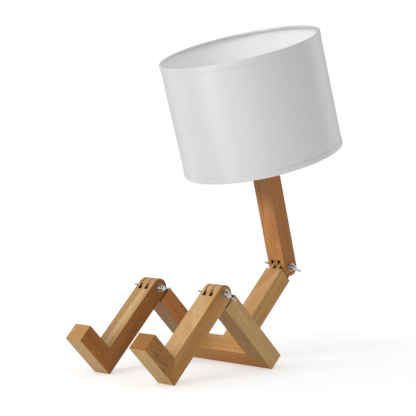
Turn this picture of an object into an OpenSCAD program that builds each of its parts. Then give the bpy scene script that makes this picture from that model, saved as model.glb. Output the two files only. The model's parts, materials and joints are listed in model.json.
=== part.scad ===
// Folding desk lamp in the shape of a seated figure. Two legs, a seat bar, a torso and a
// neck are sawn from one timber section. Wing screws clamp the knees and the waist, and
// a fabric drum shade sits on a screw-cap lampholder at the top of the neck.
// X runs across the figure, Y from its feet to its back. The origin is on the table, in
// the middle of the lamp's outline, and the figure's left side is +X.

/* [Timber] */
// Width of every beam, across the figure
beam_w = 30; // [26:1:40]
// Thickness of every beam
beam_t = 25.5; // [22:0.5:32]
// Width of the flats that the heels and the seat bar rest on
rest_flat = 1.6; // [1:0.1:4]

/* [Legs] */
// Clear space between the two legs
leg_gap = 95; // [80:1:130]
// Length of a foot, from the point of the heel to the toe
foot_len = 72; // [50:1:100]
// Length of a shin, from the point of the heel to the axis of the knee
shin_len = 142; // [110:1:180]
// Length of a thigh, from the axis of the knee to the back of the seat
thigh_len = 142; // [110:1:180]
// Bend of the knees when the figure sits
knee_bend = 90; // [70:1:94]

/* [Torso and neck] */
// Height of the torso, from the seat bar to the axis of the waist
torso_len = 142; // [100:1:180]
// Length of the neck, from the axis of the waist to its top end
neck_len = 142; // [110:1:180]
// Lean of the neck, forward from upright
neck_lean = 15.3; // [0:0.1:30]

/* [Finger joints] */
// Gap on each side of a tongue in its slot
tongue_play = 0.15; // [0.05:0.05:0.4]
// Gap from a round finger end to the bottom of its slot
slot_gap = 1.2; // [1:0.1:4]
// Gap from a round finger end to the shoulder beside a tongue
shoulder_gap = 2; // [1.2:0.1:5]

/* [Wing screws] */
// Thread diameter of the wing screws
screw_d = 5; // [4:1:6]
// Radial play of a screw in its hole in the timber
screw_play = 0.08; // [0.02:0.01:0.1]
// Radial play of a wing nut on its screw
nut_play = 0.05; // [0.01:0.01:0.1]
// Length of screw that stands out of its nut
screw_tail = 2.5; // [1:0.5:8]
// Outside diameter of a washer
washer_d = 12; // [10:0.5:20]
// Thickness of a washer
washer_t = 1; // [0.8:0.1:2]
// Hub diameter of a wing nut or wing head, at the washer
hub_d = 9.6; // [8.6:0.2:12]
// Hub height of a wing nut or wing head
hub_h = 6.4; // [5:0.2:9]
// Distance from wing tip to wing tip
wing_span = 24; // [21:0.5:32]
// Height of the wing tips above the washer
wing_rise = 11.4; // [10:0.2:16]
// Thickness of a wing
wing_t = 2.2; // [1.4:0.1:3]
// Turn of the left knee's wing nut, from pointing back
left_nut_turn = -45; // [-180:1:180]
// Turn of the right knee's wing nut
right_nut_turn = -5; // [-180:1:180]
// Turn of the waist's wing nut
waist_nut_turn = -35; // [-180:1:180]
// Turn of the wing heads on the other side of the knees
knee_head_turn = -17; // [-180:1:180]
// Turn of the wing head on the other side of the waist
waist_head_turn = -28; // [-180:1:180]

/* [Dowels] */
// Diameter of the dowels in the mitred corners
mitre_dowel_d = 6; // [4:0.5:8]
// Length of the dowels in the mitred corners
mitre_dowel_len = 20; // [14:1:22]
// Distance between the two dowels of a heel
heel_dowel_gap = 14; // [12:1:16]
// Diameter of the dowels under the torso
torso_dowel_d = 8; // [6:1:10]
// Length of the dowels under the torso
torso_dowel_len = 30; // [20:1:34]
// Distance between the two dowels under the torso
torso_dowel_gap = 15; // [13:1:16]
// Glue gap round a dowel
glue_gap = 0.05; // [0.02:0.01:0.2]

/* [Lampholder] */
// Outside diameter of the threaded tube that joins the neck and the lampholder
nipple_d = 10; // [9:1:12]
// Bore of that tube
nipple_bore = 7; // [6:0.5:7.5]
// Depth of that tube in the neck
nipple_depth = 20; // [12:1:28]
// Outside diameter of the lampholder's cap
cap_d = 38; // [36:1:42]
// Height of the lampholder's cap
cap_h = 22; // [20:1:28]
// Wall of the lampholder's cap and shell
holder_wall = 2; // [1.6:0.1:2.4]
// Height of the whole lampholder
holder_h = 58; // [54:1:68]
// Height of the shoulder that carries the shade, above the neck
shade_seat_h = 30; // [27:1:34]
// Diameter of that shoulder
shade_seat_d = 48; // [46:1:56]
// Inside diameter of the screw shell
socket_d = 27; // [26.6:0.1:27.4]
// Sheet thickness of the screw shell
socket_t = 0.6; // [0.4:0.1:0.8]
// Outside diameter of the ring that clamps the shade
clamp_d = 55; // [50:1:62]
// Height of the ring that clamps the shade
clamp_h = 8; // [6:0.5:10]

/* [Lamp bulb] */
// Diameter of the glass
bulb_d = 59; // [45:1:66]
// Height of the top of the glass above the neck
bulb_top_h = 134; // [120:1:140]
// Thickness of the glass
glass_t = 0.8; // [0.6:0.1:1.2]
// Diameter of the screw cap
bulb_cap_d = 26.2; // [25.6:0.1:26.4]
// Length of the screw cap
bulb_cap_len = 24; // [22:1:25]

/* [Cord inlet] */
// Bore of the bush that the cord would run through
bush_bore = 6.4; // [5:0.2:7]
// Diameter of the bush's body
bush_d = 9.4; // [8.8:0.2:11]
// Diameter of the bush's flange
flange_d = 14; // [12.4:0.2:18]
// Thickness of the bush's flange
flange_t = 1.8; // [1:0.2:3]
// Distance of the bush below the top of the neck
bush_drop = 34; // [30:1:50]

/* [Shade] */
// Diameter of the drum shade
shade_d = 228; // [180:2:260]
// Height of the drum shade
shade_h = 164; // [150:2:200]
// Height of the fitter ring above the shade's lower rim
fitter_drop = 10; // [7:1:20]
// How far the shade leans forward of the neck's line
shade_set = 2.4; // [0:0.1:4]
// Thickness of the fabric
fabric_t = 0.5; // [0.3:0.1:1]
// Thickness of the stiff liner behind the fabric
liner_t = 0.8; // [0.6:0.1:1.5]
// Width of the rolled hems at both rims
hem_w = 8; // [6:0.5:14]
// Thickness of the rolled hems
hem_t = 0.4; // [0.3:0.1:0.8]
// Wire diameter of the rim rings and of the fitter's arms
wire_d = 3; // [2:0.5:4]
// Outside diameter of the fitter ring
fitter_ring_d = 52; // [48:1:60]
// Thickness of the fitter ring
fitter_ring_t = 1.2; // [1:0.1:2]

/* [Hidden] */
$fn = 96;
past = 1;
far = 1000;
left = 1;
right = -1;

// Timber and finger joints
half_w = beam_w / 2;
half_t = beam_t / 2;
layers = 5;
layer_w = beam_w / layers;
slot_reach = half_t + slot_gap;
shoulder_reach = half_t + shoulder_gap;
leg_in = leg_gap / 2;
leg_out = leg_in + beam_w;

// A unit step in the side plane, as [y, z], at an angle up from +Y
function step(angle) = [cos(angle), sin(angle)];

// Both heels and the back edge of the seat stand on the table, which sets the slopes
shin_slope = atan2(thigh_len * sin(knee_bend) + half_t * (cos(knee_bend) - 1),
                   shin_len + thigh_len * cos(knee_bend) - half_t * sin(knee_bend));
thigh_slope = knee_bend - shin_slope;
torso_rise = 90 - thigh_slope;
heel_cut = rest_flat * sin(shin_slope) * cos(shin_slope);

// Places in the side plane, first from the point of the heel
knee_from_heel = shin_len * step(shin_slope) + half_t * step(shin_slope + 90);
torso_foot_from_heel = knee_from_heel + (thigh_len - half_w) * step(-thigh_slope)
    + half_t * step(torso_rise);
waist_from_heel = torso_foot_from_heel + torso_len * step(torso_rise);
fitter_from_heel = waist_from_heel + (neck_len + shade_seat_h) * step(90 + neck_lean);
shade_lean = neck_lean + shade_set;
rim_from_heel = fitter_from_heel - fitter_drop * step(90 + shade_lean);
rim_r = shade_d / 2 + hem_t;
back_reach = rim_from_heel[0] + rim_r * cos(shade_lean);
front_reach = -foot_len * sin(shin_slope);
heel = [-(back_reach + front_reach) / 2, -heel_cut];
knee = heel + knee_from_heel;
waist = heel + waist_from_heel;

// Wing screws
screw_r = screw_d / 2;
hub_top_d = hub_d - 1.6;
wing_lobe_r = 2.6;
wing_root = 1;
nut_stack = washer_t + hub_h;

// Dowels
mitre_dowel_places = [1 / 3, 2 / 3];

// Lampholder, measured up from the top of the neck
cap_r = cap_d / 2;
cap_round = 4;
cap_step_h = 8;
cap_step = 1.5;
holder_in_r = cap_r - holder_wall;
holder_play = 0.2;
nipple_top_h = 12;
nut_h = 3;
nut_across = 15;
shell_r = cap_r;
ledge_h = 2;
socket_r = socket_d / 2;
socket_out_r = socket_r + socket_t;
socket_h = 26;
socket_floor_hole = 6;
seat_t = 2.4;
thread_play = 0.1;
clamp_flange_t = 2;
contact_r = 4.4;
contact_h = 1.8;
rivet_r = 1.6;
rivet_len = 12;
terminal_hole_r = 2.2;
terminal_hole_at = 10;
clamp_body_d = shade_seat_d - 3;
bulb_tip_h = cap_h + contact_h;
bulb_tip_t = 0.8;
bulb_tip_r = 4;
insulator_t = 2.6;
cap_foot_h = bulb_tip_h + bulb_tip_t + insulator_t;
cap_rim_h = cap_foot_h + bulb_cap_len;
glass_foot_r = bulb_cap_d / 2 - socket_t - glue_gap;
glass_foot_h = cap_rim_h - 6;
bulb_r = bulb_d / 2;

// Shade, measured up from its lower rim
shade_r = shade_d / 2;
liner_r = shade_r - fabric_t;
liner_in_r = liner_r - liner_t;
wire_r = wire_d / 2;
ring_r = liner_in_r - wire_r;
ring_inset = hem_t + wire_r;
fitter_hole_r = shell_r + 2 * thread_play;
arm_angles = [90, 210, 330];
arm_play = 0.3;

// The timber
module left_foot() { color("burlywood") foot(left); }
module right_foot() { color("burlywood") foot(right); }
module left_shin() { color("tan") shin(left); }
module right_shin() { color("tan") shin(right); }
module left_thigh() { color("burlywood") thigh(left); }
module right_thigh() { color("burlywood") thigh(right); }

// Turns what follows into a beam's own frame: Y runs along it, Z through its thickness
module side_frame(place, angle) {
    translate([0, place[0], place[1]]) rotate([angle, 0, 0]) children();
}

module knee_to_heel() { side_frame(knee, shin_slope + 180) children(); }
module knee_to_seat() { side_frame(knee, -thigh_slope) children(); }
module waist_to_seat() { side_frame(waist, torso_rise + 180) children(); }
module waist_to_head() { side_frame(waist, 90 + neck_lean) children(); }

// A flat outline in the side plane, made w wide across the figure from x
module across(x, w) {
    translate([x, 0, 0]) rotate([90, 0, 90]) linear_extrude(w) children();
}

module cross_rod(x, w, r) {
    translate([x, 0, 0]) rotate([0, 90, 0]) cylinder(h = w, r = r);
}

module below_table() { translate([-far / 2, -far / 2, -far]) cube(far); }

function leg_x(side) = side > 0 ? leg_in : -leg_out;

// A beam that runs from a joint's axis along Y, with a round end about the axis
module round_end_beam(x, len) {
    translate([x, 0, -half_t]) cube([beam_w, len, beam_t]);
    cross_rod(x, beam_w, half_t);
}

module screw_hole(x) { cross_rod(x - past, beam_w + 2 * past, screw_r + screw_play); }

// The fork end has three fingers, with a slot either side of the middle one
module fork_slots(x) {
    for (i = [1, 3])
        translate([x + i * layer_w, -half_t - past, -half_t - past])
            cube([layer_w, half_t + past + slot_reach, beam_t + 2 * past]);
}

// The tongue end has two tongues, each a little thinner than its slot
module tongue_cheeks(x) {
    for (i = [0, 2, 4]) {
        from = i == 0 ? -past : i * layer_w - tongue_play;
        to = i == layers - 1 ? beam_w + past : (i + 1) * layer_w + tongue_play;
        translate([x + from, -half_t - past, -half_t - past])
            cube([to - from, half_t + past + shoulder_reach, beam_t + 2 * past]);
    }
}

module shin(side) {
    x = leg_x(side);
    difference() {
        knee_to_heel() difference() {
            round_end_beam(x, shin_len);
            fork_slots(x);
            screw_hole(x);
            across(x - past, beam_w + 2 * past) polygon([
                [shin_len + past, half_t + past], [shin_len - beam_t - past, -half_t - past],
                [shin_len + past, -half_t - past]]);
        }
        below_table();
        heel_dowels(side, glue_gap);
    }
}

module foot(side) {
    difference() {
        knee_to_heel() across(leg_x(side), beam_w) polygon([
            [shin_len, half_t], [shin_len - beam_t, -half_t],
            [shin_len - beam_t, half_t - foot_len], [shin_len, half_t - foot_len]]);
        below_table();
        heel_dowels(side, glue_gap);
    }
}

module thigh(side) {
    x = leg_x(side);
    difference() {
        knee_to_seat() difference() {
            union() {
                translate([0, 0, -half_t]) linear_extrude(beam_t) polygon([
                    [side * leg_in, 0], [side * leg_out, 0],
                    [side * leg_out, thigh_len], [side * leg_in, thigh_len - beam_w]]);
                cross_rod(x, beam_w, half_t);
            }
            tongue_cheeks(x);
            screw_hole(x);
        }
        below_table();
        mitre_dowels(side, glue_gap);
    }
}

// The bar across the back of the seat is mitred to both thighs and carries the torso
module seat_bar() {
    color("burlywood") difference() {
        knee_to_seat() translate([0, 0, -half_t]) linear_extrude(beam_t) polygon([
            [-leg_out, thigh_len], [leg_out, thigh_len],
            [leg_in, thigh_len - beam_w], [-leg_in, thigh_len - beam_w]]);
        below_table();
        mitre_dowels(left, glue_gap);
        mitre_dowels(right, glue_gap);
        spine_dowels(glue_gap);
    }
}

module torso_beam() {
    color("tan") difference() {
        waist_to_seat() difference() {
            round_end_beam(-half_w, torso_len);
            tongue_cheeks(-half_w);
            screw_hole(-half_w);
        }
        spine_dowels(glue_gap);
    }
}

// The neck is drilled down from the top for the nipple and the cord, and across from
// the back for the bush
module neck_beam() {
    color("burlywood") difference() {
        waist_to_head() difference() {
            round_end_beam(-half_w, neck_len);
            fork_slots(-half_w);
            screw_hole(-half_w);
        }
        head_frame() {
            translate([0, 0, -nipple_depth - past])
                cylinder(h = nipple_depth + 2 * past, d = nipple_d + 2 * glue_gap);
            translate([0, 0, -bush_drop]) cylinder(h = bush_drop, d = nipple_bore);
            bush_frame() translate([0, 0, -half_t])
                cylinder(h = half_t + past, d = bush_d + 2 * glue_gap);
        }
    }
}

// The dowels
module left_heel_dowels() { color("wheat") heel_dowels(left, 0); }
module right_heel_dowels() { color("wheat") heel_dowels(right, 0); }
module seat_dowels() { color("wheat") { mitre_dowels(left, 0); mitre_dowels(right, 0); } }
module torso_dowels() { color("wheat") spine_dowels(0); }

module dowel(d, len, play) {
    cylinder(h = len + 2 * play, d = d + 2 * play, center = true);
}

module heel_dowels(side, play) {
    mid_x = side * (leg_in + half_w);
    knee_to_heel() for (x = [-heel_dowel_gap / 2, heel_dowel_gap / 2])
        translate([mid_x + x, shin_len - half_t, 0]) rotate([45, 0, 0])
            dowel(mitre_dowel_d, mitre_dowel_len, play);
}

module mitre_dowels(side, play) {
    knee_to_seat() for (f = mitre_dowel_places)
        translate([side * (leg_in + f * beam_w), thigh_len - (1 - f) * beam_w, 0])
            rotate([0, 0, -45 * side]) rotate([0, 90, 0])
                dowel(mitre_dowel_d, mitre_dowel_len, play);
}

module spine_dowels(play) {
    waist_to_seat() for (x = [-torso_dowel_gap / 2, torso_dowel_gap / 2])
        translate([x, torso_len, 0]) rotate([90, 0, 0])
            dowel(torso_dowel_d, torso_dowel_len, play);
}

// The wing screws, washers and wing nuts
module left_knee_wing_screw() { color("silver") wing_screw(knee, leg_in, knee_head_turn); }
module left_knee_head_washer() { color("silver") washer(knee, leg_in - washer_t); }
module left_knee_nut_washer() { color("silver") washer(knee, leg_out); }
module left_knee_wing_nut() { color("silver") wing_nut(knee, leg_out, left_nut_turn); }
module right_knee_wing_screw() { color("silver") wing_screw(knee, -leg_out, knee_head_turn); }
module right_knee_head_washer() { color("silver") washer(knee, -leg_out - washer_t); }
module right_knee_nut_washer() { color("silver") washer(knee, -leg_in); }
module right_knee_wing_nut() { color("silver") wing_nut(knee, -leg_in, right_nut_turn); }
module waist_wing_screw() { color("silver") wing_screw(waist, -half_w, waist_head_turn); }
module waist_head_washer() { color("silver") washer(waist, -half_w - washer_t); }
module waist_nut_washer() { color("silver") washer(waist, half_w); }
module waist_wing_nut() { color("silver") wing_nut(waist, half_w, waist_nut_turn); }

// Puts a turned piece on a joint's axis, its own Z pointing along X from x
module on_axis(place, x, turn) {
    side_frame(place, turn) translate([x, 0, 0]) rotate([0, 90, 0]) children();
}

// One wing's outline, as [distance from the axis, height above the washer]
module wing_outline() {
    tip = [wing_span / 2 - wing_lobe_r, wing_rise - wing_lobe_r];
    translate(tip) circle(r = wing_lobe_r);
    polygon([
        [hub_top_d / 4, wing_root], [hub_d / 2, wing_root],
        tip + wing_lobe_r * step(-42), tip + wing_lobe_r * step(138),
        [hub_top_d / 2, hub_h - wing_root / 2], [hub_top_d / 4, hub_h - wing_root / 2]]);
}

module winged_hub() {
    cylinder(h = hub_h, d1 = hub_d, d2 = hub_top_d);
    for (turn = [0, 180])
        rotate([0, 0, turn]) across(-wing_t / 2, wing_t) wing_outline();
}

module washer(place, x) {
    on_axis(place, x, 0) difference() {
        cylinder(h = washer_t, d = washer_d);
        translate([0, 0, -past]) cylinder(h = washer_t + 2 * past, r = screw_r + screw_play);
    }
}

module wing_nut(place, face, turn) {
    on_axis(place, face + washer_t, turn) difference() {
        winged_hub();
        translate([0, 0, -past]) cylinder(h = wing_rise + 2 * past, r = screw_r + nut_play);
    }
}

// The head lies against its washer at face, and the shank runs through the beam to +X
module wing_screw(place, face, turn) {
    on_axis(place, face - washer_t, turn) {
        mirror([0, 0, 1]) winged_hub();
        cylinder(h = beam_w + washer_t + nut_stack + screw_tail, r = screw_r);
    }
}

// The lampholder
// Turns what follows into the head's frame: Z runs up from the top of the neck
module head_frame() {
    translate([0, waist[0], waist[1]]) rotate([neck_lean, 0, 0])
        translate([0, 0, neck_len]) children();
}

// Z runs out of the back of the neck, from its middle, where the cord comes out
module bush_frame() {
    translate([0, 0, -bush_drop]) rotate([-90, 0, 0]) translate([0, 0, half_t]) children();
}

module tube(h, r, r_in) {
    difference() {
        cylinder(h = h, r = r);
        translate([0, 0, -past]) cylinder(h = h + 2 * past, r = r_in);
    }
}

module cord_bush() {
    color("dimgray") head_frame() bush_frame() difference() {
        union() {
            cylinder(h = flange_t, d = flange_d);
            translate([0, 0, -half_t + nipple_bore / 2])
                cylinder(h = half_t - nipple_bore / 2, d = bush_d);
        }
        translate([0, 0, -half_t]) cylinder(h = half_t + flange_t + past, d = bush_bore);
    }
}

module holder_nipple() {
    color("gold") head_frame() translate([0, 0, -nipple_depth])
        tube(nipple_depth + nipple_top_h, nipple_d / 2, nipple_bore / 2);
}

module nipple_nut() {
    color("gold") head_frame() translate([0, 0, holder_wall]) difference() {
        cylinder(h = nut_h, r = nut_across / 2 / cos(30), $fn = 6);
        translate([0, 0, -past]) cylinder(h = nut_h + 2 * past, d = nipple_d + 2 * thread_play);
    }
}

module holder_cap() {
    color("whitesmoke") head_frame() rotate_extrude() difference() {
        union() {
            translate([0, cap_round]) square([cap_r, cap_h - cap_round]);
            square([cap_r - cap_round, cap_h]);
            translate([cap_r - cap_round, cap_round]) circle(r = cap_round);
        }
        translate([-far, -past]) square([far, cap_h + 2 * past]);
        translate([0, -past]) square([nipple_d / 2 + thread_play, cap_h]);
        translate([0, holder_wall]) square([holder_in_r - cap_step, cap_h]);
        translate([0, cap_step_h]) square([holder_in_r, cap_h]);
    }
}

// The shell stands on the cap, holds the terminal block down and carries the shade
module holder_shell() {
    color("whitesmoke") head_frame() {
        translate([0, 0, cap_h]) tube(holder_h - cap_h, shell_r, holder_in_r);
        translate([0, 0, cap_h]) tube(ledge_h, shell_r, socket_out_r + holder_play);
        translate([0, 0, shade_seat_h - seat_t]) tube(seat_t, shade_seat_d / 2, holder_in_r);
    }
}

module terminal_block() {
    color("ivory") head_frame() translate([0, 0, cap_step_h]) difference() {
        cylinder(h = cap_h - cap_step_h, r = holder_in_r - holder_play);
        translate([0, 0, -past]) cylinder(h = nipple_top_h - cap_step_h + 2 * past, d = nipple_d + 2);
        translate([0, 0, -past]) cylinder(h = cap_h, r = rivet_r);
        for (x = [-terminal_hole_at, terminal_hole_at])
            translate([x, 0, -past]) cylinder(h = cap_h, r = terminal_hole_r);
    }
}

module screw_shell() {
    color("gold") head_frame() translate([0, 0, cap_h]) {
        tube(socket_h, socket_out_r, socket_r);
        tube(socket_t, socket_out_r, socket_floor_hole);
    }
}

// A sprung leaf on a rivet, insulated from the screw shell round it
module centre_contact() {
    color("gold") head_frame() {
        translate([0, 0, cap_h]) cylinder(h = contact_h, r = contact_r);
        translate([0, 0, cap_h - rivet_len + nipple_top_h - cap_step_h])
            cylinder(h = rivet_len - nipple_top_h + cap_step_h, r = rivet_r);
    }
}

module shade_clamp_ring() {
    color("whitesmoke") head_frame() translate([0, 0, shade_seat_h + fitter_ring_t]) {
        tube(clamp_h, clamp_body_d / 2, shell_r + thread_play);
        tube(clamp_flange_t, clamp_d / 2, shell_r + thread_play);
    }
}

// The bulb
module bulb_cap() {
    color("silver") head_frame() translate([0, 0, cap_foot_h]) difference() {
        cylinder(h = bulb_cap_len, d = bulb_cap_d);
        translate([0, 0, socket_t]) cylinder(h = bulb_cap_len, d = bulb_cap_d - 2 * socket_t);
    }
}

module bulb_insulator() {
    color("black") head_frame() translate([0, 0, cap_foot_h - insulator_t])
        cylinder(h = insulator_t, r1 = bulb_tip_r + 1, d2 = bulb_cap_d);
}

module bulb_tip() {
    color("silver") head_frame() translate([0, 0, bulb_tip_h])
        cylinder(h = bulb_tip_t, r = bulb_tip_r);
}

// Half of the glass's section: a ball, a cone that meets it without a crease, and a
// straight foot that is cemented into the cap
module glass_section(ball_r, foot_r, foot_h) {
    centre_h = bulb_top_h - bulb_r;
    cone_far = norm([foot_r, centre_h - cap_rim_h]);
    touch = atan2(cap_rim_h - centre_h, foot_r) + acos(ball_r / cone_far);
    intersection() {
        union() {
            translate([0, centre_h]) circle(r = ball_r);
            polygon([[0, foot_h], [foot_r, foot_h], [foot_r, cap_rim_h],
                     [0, centre_h] + ball_r * step(touch), [0, centre_h]]);
        }
        translate([0, foot_h]) square([bulb_d, bulb_top_h]);
    }
}

module bulb_glass() {
    color("white") head_frame() rotate_extrude() difference() {
        glass_section(bulb_r, glass_foot_r, glass_foot_h);
        glass_section(bulb_r - glass_t, glass_foot_r - glass_t, glass_foot_h);
    }
}

// The shade
// Turns what follows into the shade's frame: Z runs up from the middle of its lower rim
module shade_frame() {
    head_frame() translate([0, 0, shade_seat_h]) rotate([shade_set, 0, 0])
        translate([0, 0, -fitter_drop]) children();
}

// A point of the shade's frame, given in the head's frame
function from_shade(p) = [
    p[0],
    p[1] * cos(shade_set) - (p[2] - fitter_drop) * sin(shade_set),
    shade_seat_h + p[1] * sin(shade_set) + (p[2] - fitter_drop) * cos(shade_set)];

module rod(from, to, r) {
    run = to - from;
    translate(from) rotate([0, acos(run[2] / norm(run)), atan2(run[1], run[0])])
        cylinder(h = norm(run), r = r);
}

// Three straight arms, from the fitter ring's edge into the rim wire that they are
// welded to
module fitter_arms(r) {
    head_frame() for (a = arm_angles) rod(
        [(fitter_ring_d / 2 - wire_r) * cos(a), (fitter_ring_d / 2 - wire_r) * sin(a),
         shade_seat_h + fitter_ring_t / 2],
        from_shade([ring_r * cos(a), ring_r * sin(a), ring_inset]), r);
}

module shade_fitter() {
    color("white") difference() {
        union() {
            head_frame() translate([0, 0, shade_seat_h])
                cylinder(h = fitter_ring_t, d = fitter_ring_d);
            fitter_arms(wire_r);
        }
        head_frame() {
            translate([0, 0, shade_seat_h - past])
                cylinder(h = fitter_ring_t + 2 * past, r = fitter_hole_r);
            translate([0, 0, shade_seat_h - far]) cylinder(h = far, d = shade_seat_d);
            translate([0, 0, shade_seat_h + fitter_ring_t])
                cylinder(h = clamp_h, d = clamp_d + 2 * arm_play);
        }
    }
}

module rim_wire(h) {
    shade_frame() translate([0, 0, h]) rotate_extrude() translate([ring_r, 0]) circle(r = wire_r);
}

module shade_bottom_ring() { color("white") rim_wire(ring_inset); }
module shade_top_ring() { color("white") rim_wire(shade_h - ring_inset); }

module shade_liner() {
    color("white") shade_frame() translate([0, 0, hem_t])
        tube(shade_h - 2 * hem_t, liner_r, liner_in_r);
}

module shade_fabric() {
    color("gainsboro") shade_frame() translate([0, 0, hem_t])
        tube(shade_h - 2 * hem_t, shade_r, liner_r);
}

// A rolled hem's section, with its rim at height 0 and the wall below it
module hem_section() {
    difference() {
        union() {
            translate([ring_r, -ring_inset]) circle(r = wire_r + hem_t);
            translate([ring_r, -ring_inset]) square([rim_r - ring_r, ring_inset]);
            translate([shade_r, -hem_w]) square([hem_t, hem_w]);
        }
        translate([ring_r, -ring_inset]) circle(r = wire_r);
        translate([ring_r, -ring_inset - hem_w]) square([shade_r - ring_r, hem_w + wire_r]);
    }
}

module shade_top_hem() {
    color("lightgray") shade_frame() translate([0, 0, shade_h]) rotate_extrude() hem_section();
}

module shade_bottom_hem() {
    color("lightgray") difference() {
        shade_frame() mirror([0, 0, 1]) rotate_extrude() hem_section();
        fitter_arms(wire_r + arm_play);
    }
}

left_foot();
left_shin();
left_thigh();
right_foot();
right_shin();
right_thigh();
seat_bar();
torso_beam();
neck_beam();
left_heel_dowels();
right_heel_dowels();
seat_dowels();
torso_dowels();
left_knee_wing_screw();
left_knee_head_washer();
left_knee_nut_washer();
left_knee_wing_nut();
right_knee_wing_screw();
right_knee_head_washer();
right_knee_nut_washer();
right_knee_wing_nut();
waist_wing_screw();
waist_head_washer();
waist_nut_washer();
waist_wing_nut();
cord_bush();
holder_nipple();
nipple_nut();
holder_cap();
holder_shell();
terminal_block();
screw_shell();
centre_contact();
shade_clamp_ring();
bulb_cap();
bulb_insulator();
bulb_tip();
bulb_glass();
shade_fitter();
shade_bottom_ring();
shade_top_ring();
shade_liner();
shade_fabric();
shade_bottom_hem();
shade_top_hem();
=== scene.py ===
import json
import math

import bmesh
import bpy
from mathutils import Matrix, Vector, noise


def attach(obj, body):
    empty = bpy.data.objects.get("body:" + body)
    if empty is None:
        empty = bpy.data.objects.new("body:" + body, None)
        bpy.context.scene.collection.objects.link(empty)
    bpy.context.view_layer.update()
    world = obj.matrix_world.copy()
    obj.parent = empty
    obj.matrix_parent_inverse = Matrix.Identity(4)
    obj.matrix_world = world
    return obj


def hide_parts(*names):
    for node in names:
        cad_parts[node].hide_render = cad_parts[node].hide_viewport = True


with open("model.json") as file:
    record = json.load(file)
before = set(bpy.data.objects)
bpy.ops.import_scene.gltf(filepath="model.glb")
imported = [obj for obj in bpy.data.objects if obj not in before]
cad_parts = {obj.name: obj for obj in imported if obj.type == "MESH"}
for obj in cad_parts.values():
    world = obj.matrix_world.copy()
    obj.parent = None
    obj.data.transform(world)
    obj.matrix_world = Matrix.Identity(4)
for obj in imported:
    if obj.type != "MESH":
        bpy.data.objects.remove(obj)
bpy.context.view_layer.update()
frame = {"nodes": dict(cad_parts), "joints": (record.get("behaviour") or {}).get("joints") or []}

MM = 0.001
SAME = 1e-6               # points nearer than this are one point
NOTHING = 1e-7            # an edge shorter than this is no edge
NODES = frame["nodes"]

# Sizes that the pieces share with the solid model
BEAM_W = 30 * MM
BEAM_T = 25.5 * MM
LEG_GAP = 95 * MM
SHIN_LEN = 142 * MM
THIGH_LEN = 142 * MM
NECK_LEN = 142 * MM
NECK_LEAN = 15.3
SLOT_REACH = BEAM_T / 2 + 1.2 * MM
WASHER_R = 6 * MM
WASHER_T = 1 * MM
SCREW_R = 2.5 * MM
SCREW_PITCH = 0.8 * MM
SCREW_HOLE_R = 2.58 * MM
SCREW_END = 9.9 * MM
CAP_R = 19 * MM
CAP_H = 22 * MM
CAP_FLOOR = 2 * MM
CAP_HOLE_R = 5.1 * MM
HOLDER_H = 58 * MM
HOLDER_IN_R = 17 * MM
SEAT_R = 24 * MM
SEAT_H = 30 * MM
NIPPLE_R = 5 * MM
NIPPLE_DEPTH = 20 * MM
NIPPLE_TOP = 12 * MM
SOCKET_R = 13.5 * MM
SOCKET_LEN = 26 * MM
SOCKET_T = 0.6 * MM
CLAMP_R = 27.5 * MM
CLAMP_BODY_R = 22.5 * MM
CLAMP_H = 8 * MM
BUSH_DROP = 34 * MM
BUSH_BORE_R = 3.2 * MM
BUSH_R = 4.7 * MM
BUSH_FLANGE_R = 7 * MM
BUSH_FLANGE_T = 1.8 * MM
BULB_R = 29.5 * MM
BULB_TOP_H = 134 * MM
BULB_CAP_R = 13.1 * MM
BULB_PITCH = 3.63 * MM
BULB_FOOT_H = 27.2 * MM
BULB_CAP_LEN = 24 * MM
GLASS_T = 0.8 * MM
SHADE_R = 114 * MM
SHADE_H = 164 * MM
SHADE_SET = 2.4
FITTER_DROP = 10 * MM
FITTER_T = 1.2 * MM
FITTER_R = 26 * MM
FABRIC_T = 0.5 * MM
LINER_T = 0.8 * MM
HEM_W = 8 * MM
HEM_T = 0.4 * MM
WIRE_R = 1.5 * MM
RING_R = SHADE_R - FABRIC_T - LINER_T - WIRE_R
RING_INSET = HEM_T + WIRE_R
ARM_ANGLES = (90, 210, 330)
FLOOR_R = 1.5


def shifted(x, y, z):
    return Matrix.Translation((x, y, z))


def turned(axis, degrees):
    return Matrix.Rotation(math.radians(degrees), 4, axis)


# Places in the row frame, taken from the joints
AXES = {joint["name"]: Vector(joint["pos_m"]) for joint in frame["joints"]
        if "pos_m" in joint}
KNEE = shifted(0, *AXES["left_knee"][1:])
WAIST = shifted(0, *AXES["waist"][1:])
SHIN = KNEE @ turned("X", 225)
FOOT = SHIN @ shifted(0, SHIN_LEN, 0) @ turned("X", 90)
THIGH = KNEE @ turned("X", -45)
SEAT_BAR = THIGH @ shifted(0, THIGH_LEN - BEAM_W / 2, 0) @ turned("Z", 90)
TORSO = WAIST @ turned("X", 225)
NECK = WAIST @ turned("X", 90 + NECK_LEAN)
HEAD = WAIST @ turned("X", NECK_LEAN) @ shifted(0, 0, NECK_LEN)
SEAT = HEAD @ shifted(0, 0, SEAT_H)
BUSH = HEAD @ shifted(0, 0, -BUSH_DROP) @ turned("X", -90) @ shifted(0, 0, BEAM_T / 2)
SHADE = SEAT @ turned("X", SHADE_SET) @ shifted(0, 0, -FITTER_DROP)


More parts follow.
